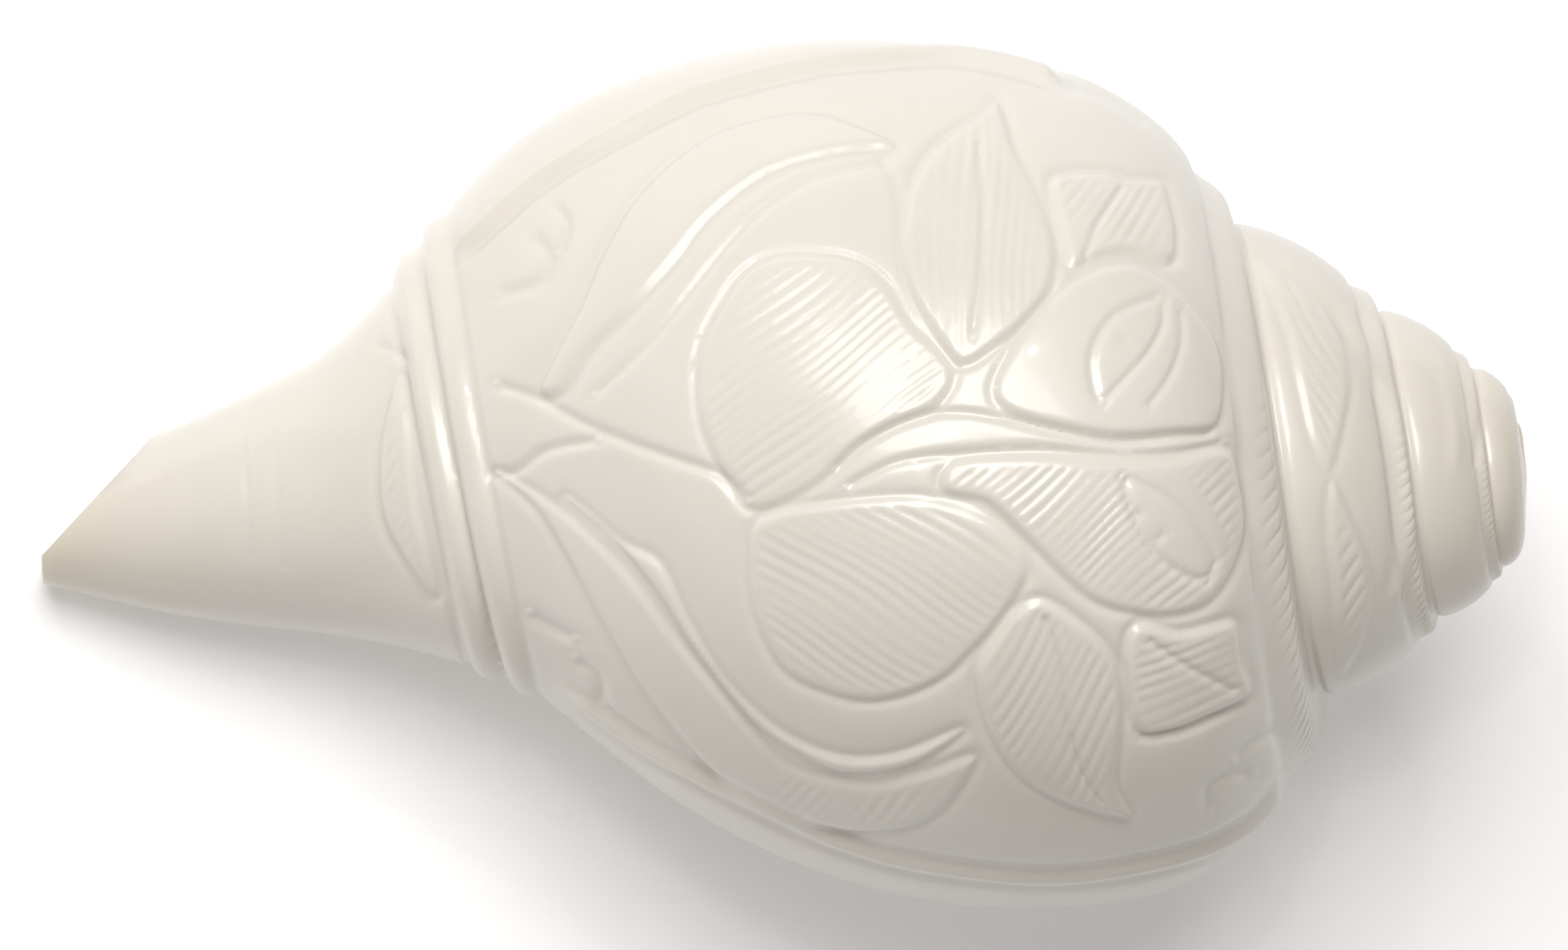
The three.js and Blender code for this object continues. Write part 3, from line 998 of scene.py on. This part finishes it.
def build_shell():
    """The carved and hollow shell, and the point that its place on the table was worked out from."""
    shell = object_of(outside(True).mesh("carved_shell"), "carved_shell")
    cut_away(shell, object_of(hollow().mesh("hollow"), "hollow"))
    thin_out(shell, MOST_TRIANGLES)
    middle = resting_middle()
    lay_on_table(shell.data, middle)
    shell.data.shade_smooth()
    shell.data.set_sharp_from_angle(angle=math.radians(SHARP_ANGLE))
    return shell, middle


def node(tree, kind, **inputs):
    """A new node with some of its inputs set."""
    made = tree.nodes.new(kind)
    for name, value in inputs.items():
        made.inputs[name.replace("_", " ")].default_value = value
    return made


def cloudy_tint(tree, where):
    """Warm and cool clouds in the lime."""
    clouds = node(tree, "ShaderNodeTexNoise", Scale=28.0, Detail=3.0)
    tree.links.new(where.outputs["Object"], clouds.inputs["Vector"])
    tint = tree.nodes.new("ShaderNodeValToRGB")
    for stop, (position, colour) in zip(tint.color_ramp.elements, CLOUD_TINTS):
        stop.position = position
        stop.color = colour
    tree.links.new(clouds.outputs["Fac"], tint.inputs["Fac"])
    return tint.outputs["Color"]


def yellower_ends(tree, where, colour):
    """A colour that turns yellower towards both ends of the shell."""
    apart = tree.nodes.new("ShaderNodeSeparateXYZ")
    tree.links.new(where.outputs["Object"], apart.inputs["Vector"])
    from_middle = tree.nodes.new("ShaderNodeMath")
    from_middle.operation = "ABSOLUTE"
    tree.links.new(apart.outputs["X"], from_middle.inputs[0])
    worn = node(tree, "ShaderNodeMapRange", **WORN_AT_ENDS)
    tree.links.new(from_middle.outputs[0], worn.inputs["Value"])
    ends = node(tree, "ShaderNodeMixRGB", Color2=WORN_TINT)
    tree.links.new(worn.outputs["Result"], ends.inputs["Fac"])
    tree.links.new(colour, ends.inputs["Color1"])
    return ends.outputs["Color"]


def hand_polish(tree, where):
    """Faint dents that only show in the gloss."""
    dents = node(tree, "ShaderNodeTexNoise", Scale=420.0, Detail=3.0, Roughness=0.6)
    tree.links.new(where.outputs["Object"], dents.inputs["Vector"])
    bump = node(tree, "ShaderNodeBump", Strength=0.25, Distance=0.00012)
    tree.links.new(dents.outputs["Fac"], bump.inputs["Height"])
    return bump.outputs["Normal"]


def shell_material():
    """Polished shell: a soft, pale lime with a thin gloss."""
    made = bpy.data.materials.new("polished_shell")
    made.use_nodes = True
    tree = made.node_tree
    shader = tree.nodes["Principled BSDF"]
    for name, value in SHELL_SURFACE.items():
        shader.inputs[name].default_value = value
    where = tree.nodes.new("ShaderNodeTexCoord")
    colour = yellower_ends(tree, where, cloudy_tint(tree, where))
    tree.links.new(colour, shader.inputs["Base Color"])
    tree.links.new(hand_polish(tree, where), shader.inputs["Normal"])
    return made


def table_material():
    """A white table top with a little light of its own, so that it comes out as white paper."""
    made = bpy.data.materials.new("table_top")
    made.use_nodes = True
    inputs = made.node_tree.nodes["Principled BSDF"].inputs
    inputs["Base Color"].default_value = TABLE_TINT
    inputs["Roughness"].default_value = 0.7
    inputs["Emission Color"].default_value = (1, 1, 1, 1)
    inputs["Emission Strength"].default_value = TABLE_GLOW
    return made


def add_table():
    """The table's flat top."""
    mesh = bpy.data.meshes.new("table")
    half = TABLE_HALF
    corners = [(-half, -half, 0), (half, -half, 0), (half, half, 0), (-half, half, 0)]
    mesh.from_pydata(corners, [], [(0, 1, 2, 3)])
    table = object_of(mesh, "table")
    mesh.materials.append(table_material())


def in_world(point, middle):
    """A point of the shaped shell, in millimetres, where it lies in the world, in metres."""
    return Vector((laid_down(np.array([point], float))[0] - middle) / MM_PER_METRE)


def add_camera(middle):
    """Looks square down on the shell's length, turned so that the spire is a little higher."""
    across = PHOTO_MIDDLE[0] - PHOTO_APEX[0]
    down = PHOTO_MIDDLE[1] - PHOTO_APEX[1]
    lean = math.sqrt(1 - PHOTO_TILT**2)
    along = (-lean * across + PHOTO_TILT * down) * PHOTO_MM
    up = (-PHOTO_TILT * across - lean * down) * PHOTO_MM
    aim = np.array([TIP_ALONG + SHELL_LENGTH / 2 - along, up, 0])
    target = in_world(aim, middle)
    back = in_world(aim + (0, 0, CAMERA_DISTANCE), middle) - target
    right = in_world(aim + (lean, -PHOTO_TILT, 0), middle) - target
    above = in_world(aim + (PHOTO_TILT, lean, 0), middle) - target
    turned = Matrix((right.normalized(), above.normalized(), back.normalized())).transposed()
    data = bpy.data.cameras.new("camera")
    data.sensor_width = SENSOR_WIDTH
    data.lens = SENSOR_WIDTH * CAMERA_DISTANCE / (PHOTO_WIDTH * PHOTO_MM)
    data.clip_end = 20
    camera = object_of(data, "camera")
    camera.matrix_world = Matrix.Translation(target + back) @ turned.to_4x4()
    bpy.context.scene.camera = camera


def add_area_light(light):
    """A square light that points at the middle of the table."""
    data = bpy.data.lights.new(light["name"], "AREA")
    data.shape = "RECTANGLE"
    data.size = data.size_y = light["size"]
    data.energy = light["power"]
    data.color = light["tint"]
    made = object_of(data, light["name"])
    made.location = light["at"]
    made.rotation_euler = (-Vector(light["at"])).to_track_quat("-Z", "Y").to_euler()


def add_world():
    """A dim, faintly warm surrounding, and plain tones in the picture."""
    world = bpy.data.worlds.new("studio")
    world.use_nodes = True
    inputs = world.node_tree.nodes["Background"].inputs
    inputs["Color"].default_value = WORLD_TINT
    inputs["Strength"].default_value = WORLD_STRENGTH
    bpy.context.scene.world = world
    bpy.context.scene.view_settings.view_transform = "Standard"


shell, lying_at = build_shell()
shell.data.materials.clear()
shell.data.materials.append(shell_material())
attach(shell, "root")
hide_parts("shell")
add_table()
add_camera(lying_at)
add_world()
for light in LIGHTS:
    add_area_light(light)
